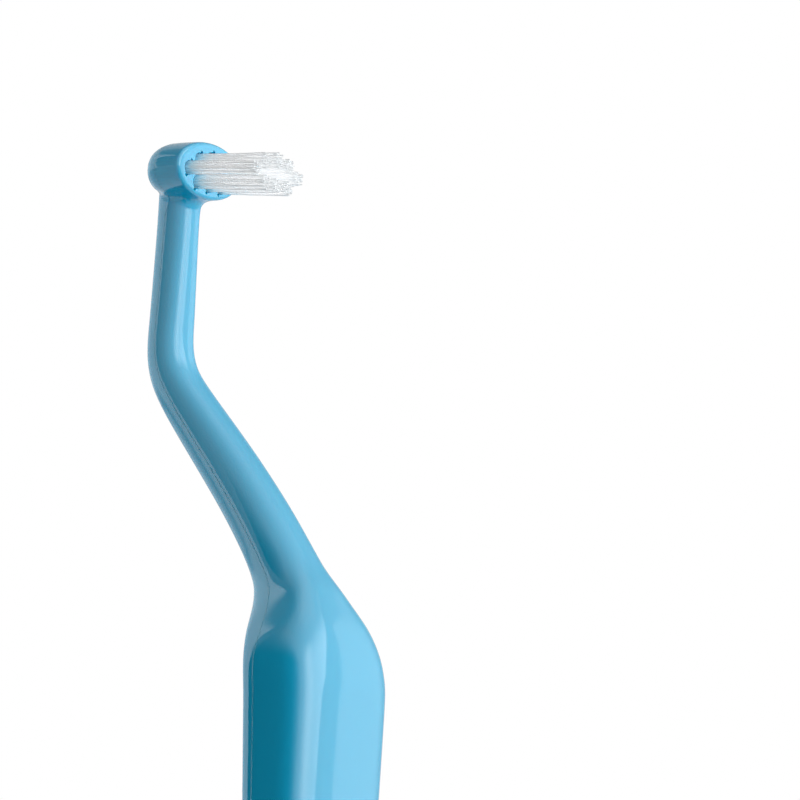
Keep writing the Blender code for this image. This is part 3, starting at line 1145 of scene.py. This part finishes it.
@dataclass
class Bristles:
    """The eight tufts of folded filaments, as single filaments that stand out of their holes."""

    finish: Finish
    moulding: Moulding
    length: float = 0.0084
    length_spread: float = 0.00008
    diameter: float = 0.00017
    pitch: float = 0.000185
    root_depth: float = 0.0022
    anchor_gap: float = 0.00016
    hole_clearance: float = 0.00003
    tip_spread: tuple[float, float] = (1.02, 1.15)
    tip_stray: float = 0.00006
    bow: float = 0.00006
    sides: int = 6
    seed: int = 11

    # Shares of a filament's length and radius, up to where its tip closes.
    FILAMENT_SHARES = ((0.0, 1.0), (0.35, 1.0), (0.7, 1.0), (0.985, 1.0), (0.996, 0.72))

    def roots(self) -> list[Vector]:
        """Pack the filaments of a hole like cells, clear of the anchor.

        Returns:
            Their places in the hole.
        """
        reach = self.moulding.hole_diameter / 2 - self.hole_clearance - self.diameter / 2
        rise = self.pitch * math.sqrt(3) / 2
        rows = int(reach / rise) + 1
        turn = Matrix.Rotation(self.moulding.slot_turn, 3, "Z")
        result = []
        for row in range(-rows, rows + 1):
            for column in range(-rows, rows + 1):
                place = Vector(((column + (row % 2) / 2) * self.pitch, (row + 1 / 2) * rise, 0))
                if place.length <= reach and abs(place.y) >= self.anchor_gap:
                    result.append(turn @ place)
        return result

    def filament(self) -> Mesh:
        """Make one filament of unit length and unit radius, with a rounded tip.

        Returns:
            The filament's mesh.
        """
        rings = [
            [Vector((x * radius, y * radius, height)) for x, y in oval(self.sides, 2.0, 0.0)]
            for height, radius in self.FILAMENT_SHARES
        ]
        bm = bmesh.new()
        skin = Skin(bm, rings[0])
        skin.follow(rings[1:])
        skin.close(UP)
        return mesh_of("filament", bm)

    def tuft(self, name: str, place: Vector, template: Mesh, chance: random.Random) -> Object:
        """Build one tuft.

        Args:
            name: The tuft's name.
            place: The middle of its hole's mouth in the face's frame.
            template: The filament that it repeats.
            chance: The source of its small irregularities.

        Returns:
            The tuft's object.
        """
        bm = bmesh.new()
        for root in self.roots():
            first = len(bm.verts)
            bm.from_mesh(template)
            bm.verts.ensure_lookup_table()
            length = self.length + chance.gauss(0.0, self.length_spread)
            stray = Vector((chance.gauss(0.0, self.tip_stray), chance.gauss(0.0, self.tip_stray), 0))
            tip = Vector((root.x * self.tip_spread[0], root.y * self.tip_spread[1], 0)) + stray
            bow = Vector((chance.gauss(0.0, self.bow), chance.gauss(0.0, self.bow), 0))
            for vertex in bm.verts[first:]:
                height = -self.root_depth + (length + self.root_depth) * vertex.co.z
                lean = max(height, 0.0) / length
                middle = root.lerp(tip, lean) + bow * 4 * lean * (1 - lean)
                around = Vector((vertex.co.x, vertex.co.y, 0)) * self.diameter / 2
                vertex.co = place + middle + around + Vector((0, 0, height))
        bmesh.ops.transform(bm, matrix=self.moulding.head_frame(), verts=bm.verts)
        piece = show(mesh_of(name, bm, outward=False))
        piece.data.shade_smooth()
        return piece

    def build(self) -> list[Object]:
        """Build and dress the tufts, which are clear and let the light through.

        Returns:
            The tufts' objects.
        """
        material = self.finish.material()
        template = self.filament()
        chance = random.Random(self.seed)
        pieces = []
        for name, place in self.moulding.hole_places().items():
            piece = self.tuft("bristles_" + name, place, template, chance)
            dress(piece, material)
            piece.visible_shadow = piece.visible_glossy = False
            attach(piece, BODY)
            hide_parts("tuft_" + name)
            pieces.append(piece)
        bpy.data.meshes.remove(template)
        return pieces


@dataclass
class Anchors:
    """The metal strips that hold the folded filaments down in their holes."""

    finish: Finish

    def build(self) -> list[Object]:
        """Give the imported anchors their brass.

        Returns:
            The anchors' objects.
        """
        material = self.finish.material()
        pieces = [node for name, node in sorted(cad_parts.items()) if name.startswith("anchor_")]
        for piece in pieces:
            dress(piece, material)
        return pieces


@dataclass(frozen=True)
class Lamp:
    """A square softbox that faces the brush. Reflections show the room's panels in its place."""

    name: str
    azimuth: float
    elevation: float
    strength: float
    distance: float = 0.70
    side: float = 0.35

    def hang(self, target: Vector) -> None:
        """Hang the softbox so that it looks at a target.

        Args:
            target: The place that it looks at.
        """
        light = bpy.data.lights.new(self.name, "AREA")
        light.size = self.side
        light.energy = self.strength * self.side * self.side * math.pi
        lamp = show(light)
        lamp.visible_glossy = False
        away = direction(math.radians(self.azimuth), math.radians(self.elevation))
        aim(lamp, target, away, self.distance)


@dataclass(frozen=True)
class Edge:
    """A panel's sharp edge.

    It has a bearing at the horizon, drifts by some degrees with each degree of height, and is bright
    on one side.
    """

    bearing: float
    drift: float
    bright: Side
    softness: float = 2.0

    def light(self, room: Nodes, bearing: NodeSocket, height: NodeSocket) -> NodeSocket:
        """Make the share of the panel's light that the edge lets through.

        Args:
            room: The world's nodes.
            bearing: The direction's bearing in degrees right of the photographer.
            height: The direction's elevation in degrees.

        Returns:
            The share's socket.
        """
        along = room.math("MULTIPLY_ADD", height, -self.drift, bearing)
        half = self.softness / 2 * self.bright.value
        return room.step(along, self.bearing - half, self.bearing + half)


@dataclass(frozen=True)
class Panel:
    """A bright part of the room, seen by reflections.

    The levels are pairs of a bearing, in degrees right of the photographer, and a brightness. The
    span holds four elevations in degrees: where the panel starts, is full, stops being full and ends.
    """

    name: str
    levels: tuple[tuple[float, float], ...]
    span: tuple[float, float, float, float]
    edge: Edge | None = None

    BRIGHTEST = 8.0

    def light(self, room: Nodes, bearing: NodeSocket, height: NodeSocket) -> NodeSocket:
        """Make the panel's brightness in each direction.

        Args:
            room: The world's nodes.
            bearing: The direction's bearing in degrees right of the photographer.
            height: The direction's elevation in degrees.

        Returns:
            The brightness socket.
        """
        turn = room.math("MULTIPLY_ADD", bearing, 1 / 360, 0.5)
        stops = [(degrees / 360 + 0.5, (level / self.BRIGHTEST,) * 3) for degrees, level in self.levels]
        glow = room.ramp(turn, stops)
        glow.node.label = self.name
        start, full, stop_full, end = self.span
        parts = [glow, self.BRIGHTEST, room.step(height, start, full), room.step(height, end, stop_full)]
        if self.edge:
            parts.append(self.edge.light(room, bearing, height))
        return room.fold("MULTIPLY", parts)


@dataclass(frozen=True)
class Flag:
    """A dark net near the grip that only reflections see, and that thins out at three of its sides."""

    bearing: float = math.radians(-50.0)
    distance: float = 0.025
    left: float = -0.0065
    right: tuple[float, float] = (0.018, 0.060)
    bottom: tuple[float, float] = (0.058, 0.030)
    top: tuple[float, float] = (0.124, 0.147)

    def material(self, across: Vector) -> Material:
        """Make the net's black, which fades from the first to the second value of each pair.

        Args:
            across: The direction across the net.

        Returns:
            The material.
        """
        sheet = Sheet("dark_net")
        place = sheet.place()
        cover = sheet.fold("MULTIPLY", [
            sheet.step(sheet.along(place, axis), gone, full)
            for axis, (full, gone) in ((across, self.right), (UP, self.top), (UP, self.bottom))
        ])
        sheet.set(Base_Color=BLACK, Roughness=1.0, Specular_IOR_Level=0.0, Alpha=cover)
        return sheet.material

    def hang(self, view_azimuth: float) -> None:
        """Hang the net.

        Args:
            view_azimuth: The photographer's azimuth, from which the bearing is measured.
        """
        out = direction(view_azimuth + self.bearing)
        across = UP.cross(out)
        bm = bmesh.new()
        bmesh.ops.create_grid(bm, x_segments=1, y_segments=1, size=0.5)
        for vertex in bm.verts:
            along = blend(self.left, self.right[1], vertex.co.x + 0.5)
            height = blend(self.bottom[1], self.top[1], vertex.co.y + 0.5)
            vertex.co = out * self.distance + across * along + UP * height
        piece = show(mesh_of("flag", bm, outward=False))
        dress(piece, self.material(across))
        piece.visible_camera = piece.visible_diffuse = piece.visible_shadow = False
        piece.visible_transmission = False


@dataclass(frozen=True)
class Floor:
    """The pale floor that the brush stands on.

    Its colour is pale for the camera, and darker for the light that it throws back. Far from the
    brush it turns as white as the surroundings.
    """

    radius: float = 1.2
    sides: int = 96
    colour: Colour = (0.80, 0.80, 0.80)
    mottle: float = 1.02
    mottle_scale: Vector = field(default_factory=lambda: Vector((120.0, 120.0, 120.0)))
    bounce: Colour = (0.46, 0.46, 0.46)
    roughness: float = 0.7
    glow: float = 1.3
    white: float = 0.78
    pale: float = 0.93
    fade: tuple[float, float] = (0.12, 0.55)

    def material(self) -> Material:
        """Make the floor's finish.

        Returns:
            The material.
        """
        sheet = Sheet("pale_floor")
        light = [value * self.mottle for value in self.colour]
        seen = sheet.mixed(sheet.noise(self.mottle_scale, detail=4.0, seed=5.0), self.colour, light)
        colour = sheet.mixed(sheet.ray(Ray.DIFFUSE), seen, self.bounce)
        sheet.set(Base_Color=colour, Roughness=self.roughness, Specular_IOR_Level=0.0)
        reach = sheet.add("VectorMath", {0: sheet.place()}, operation="LENGTH").outputs["Value"]
        far = sheet.step(reach, *self.fade)
        evened = sheet.add("Emission", {"Strength": sheet.lifted(far, self.pale)})
        seen_share = sheet.math("MULTIPLY", sheet.ray(Ray.CAMERA), sheet.lifted(far, self.white))
        direct = sheet.either(seen_share, sheet.shader, evened)
        mirror = sheet.add("Emission", {"Strength": self.glow})
        mirrored = sheet.either(sheet.ray(Ray.GLOSSY), direct, mirror)
        sheet.put(mirrored.outputs[0], sheet.tree.nodes["Material Output"].inputs["Surface"])
        return sheet.material

    def lay(self) -> None:
        """Lay the floor."""
        bm = bmesh.new()
        bmesh.ops.create_circle(bm, cap_ends=True, segments=self.sides, radius=self.radius)
        piece = show(mesh_of("floor", bm, outward=False))
        dress(piece, self.material())


@dataclass
class Studio:
    """A white table-top studio with soft panels round the brush."""

    lamp_target: Vector = field(default_factory=lambda: Vector((0.0, 0.0054, 0.130)))
    view_target: Vector = field(default_factory=lambda: Vector((0.004557, -0.008473, 0.1392)))
    view_azimuth: float = math.radians(-58.0)
    view_elevation: float = math.radians(-7.3)
    view_distance: float = 0.5
    lens: float = 225.0
    sensor: float = 36.0
    nearest: float = 0.01
    soft_share: float = 0.17

    LAMPS = (
        Lamp("key_softbox", 5.0, 5.0, 7.1),
        Lamp("left_softbox", -168.0, 5.0, 3.2),
        Lamp("right_softbox", 88.0, 12.0, 6.0),
        Lamp("back_softbox", 150.0, 12.0, 6.0),
    )
    PANELS = (
        Panel("room", ((-180, 0.6), (-85, 0.5), (-70, 0.8), (-60, 1.2), (-45, 1.6), (-30, 1.8), (-15, 2.1),
                       (0, 2.35), (15, 2.6), (30, 2.9), (45, 3.1), (85, 3.2), (96, 2.85), (105, 2.45),
                       (120, 1.9), (130, 1.55), (140, 1.05), (150, 0.65), (180, 0.6)),
              (-95, -90, 78, 90)),
        Panel("zenith", ((0, 1.8),), (78, 90, 95, 99)),
        Panel("sweep", ((-180, 0.0), (-150, 0.5), (-120, 1.2), (-100, 1.85), (-80, 2.15)),
              (-8, 0, 51, 57), Edge(-67.5, -0.35, Side.LEFT)),
        Panel("key", ((24, 0.0), (30, 0.9), (36, 2.1), (44, 3.5), (50, 4.0), (58, 3.3), (66, 2.7)),
              (-60, -40, 26, 52), Edge(82, 0.66, Side.LEFT)),
        Panel("side", ((110, 1.0), (120, 0.7), (132, 0.4), (150, 0.0)),
              (-60, -40, 28, 31), Edge(108.5, 0.3, Side.RIGHT)),
    )

    def world(self) -> None:
        """Set the white surroundings for the camera and the lit room for everything else.

        The panels shine at full brightness in reflections and light the brush softly.
        """
        world = bpy.data.worlds.new("studio")
        bpy.context.scene.world = world
        world.use_nodes = True
        room = Nodes(world.node_tree)
        room.tree.nodes.clear()
        share = room.lifted(room.ray(Ray.GLOSSY), self.soft_share)
        lit, white = (
            room.add("Background", {"Color": WHITE, "Strength": strength})
            for strength in (room.math("MULTIPLY", self.room_light(room), share), 1.0)
        )
        direct = room.math("MAXIMUM", room.ray(Ray.CAMERA), room.ray(Ray.TRANSMISSION))
        room.add("OutputWorld", {"Surface": room.either(direct, lit, white).outputs[0]})

    def room_light(self, room: Nodes) -> NodeSocket:
        """Make the room's brightness in each direction, the sum of its panels.

        Args:
            room: The world's nodes.

        Returns:
            The brightness socket.
        """
        place = room.add("TexCoord").outputs["Generated"]
        back = direction(self.view_azimuth)
        across, behind, upward = (room.along(place, axis) for axis in (UP.cross(back), back, UP))
        bearing = room.math("DEGREES", room.math("ARCTAN2", across, behind))
        height = room.math("DEGREES", room.math("ARCSINE", upward))
        return room.fold("ADD", [panel.light(room, bearing, height) for panel in self.PANELS])

    def camera(self) -> None:
        """Set the camera where the photograph was taken from."""
        data = bpy.data.cameras.new("camera")
        data.sensor_width = self.sensor
        data.lens = self.lens
        data.clip_start = self.nearest
        camera = show(data)
        aim(camera, self.view_target, direction(self.view_azimuth, self.view_elevation), self.view_distance)
        bpy.context.scene.camera = camera

    def build(self) -> None:
        """Set up the floor, the light and the camera."""
        Floor().lay()
        Flag().hang(self.view_azimuth)
        self.world()
        for lamp in self.LAMPS:
            lamp.hang(self.lamp_target)
        self.camera()
        bpy.context.scene.view_settings.view_transform = "Standard"


def main() -> None:
    """Build the brush and its studio."""
    logging.basicConfig(level=logging.INFO, format="%(message)s")
    moulding = Moulding(BluePlastic())
    body = moulding.build()
    report(body)
    report(PartingLine(moulding).build(body))
    for piece in Bristles(ClearNylon(moulding.head_frame()), moulding).build():
        report(piece)
    for piece in Anchors(BrassStrip()).build():
        report(piece)
    Studio().build()


if __name__ == "__main__":
    main()
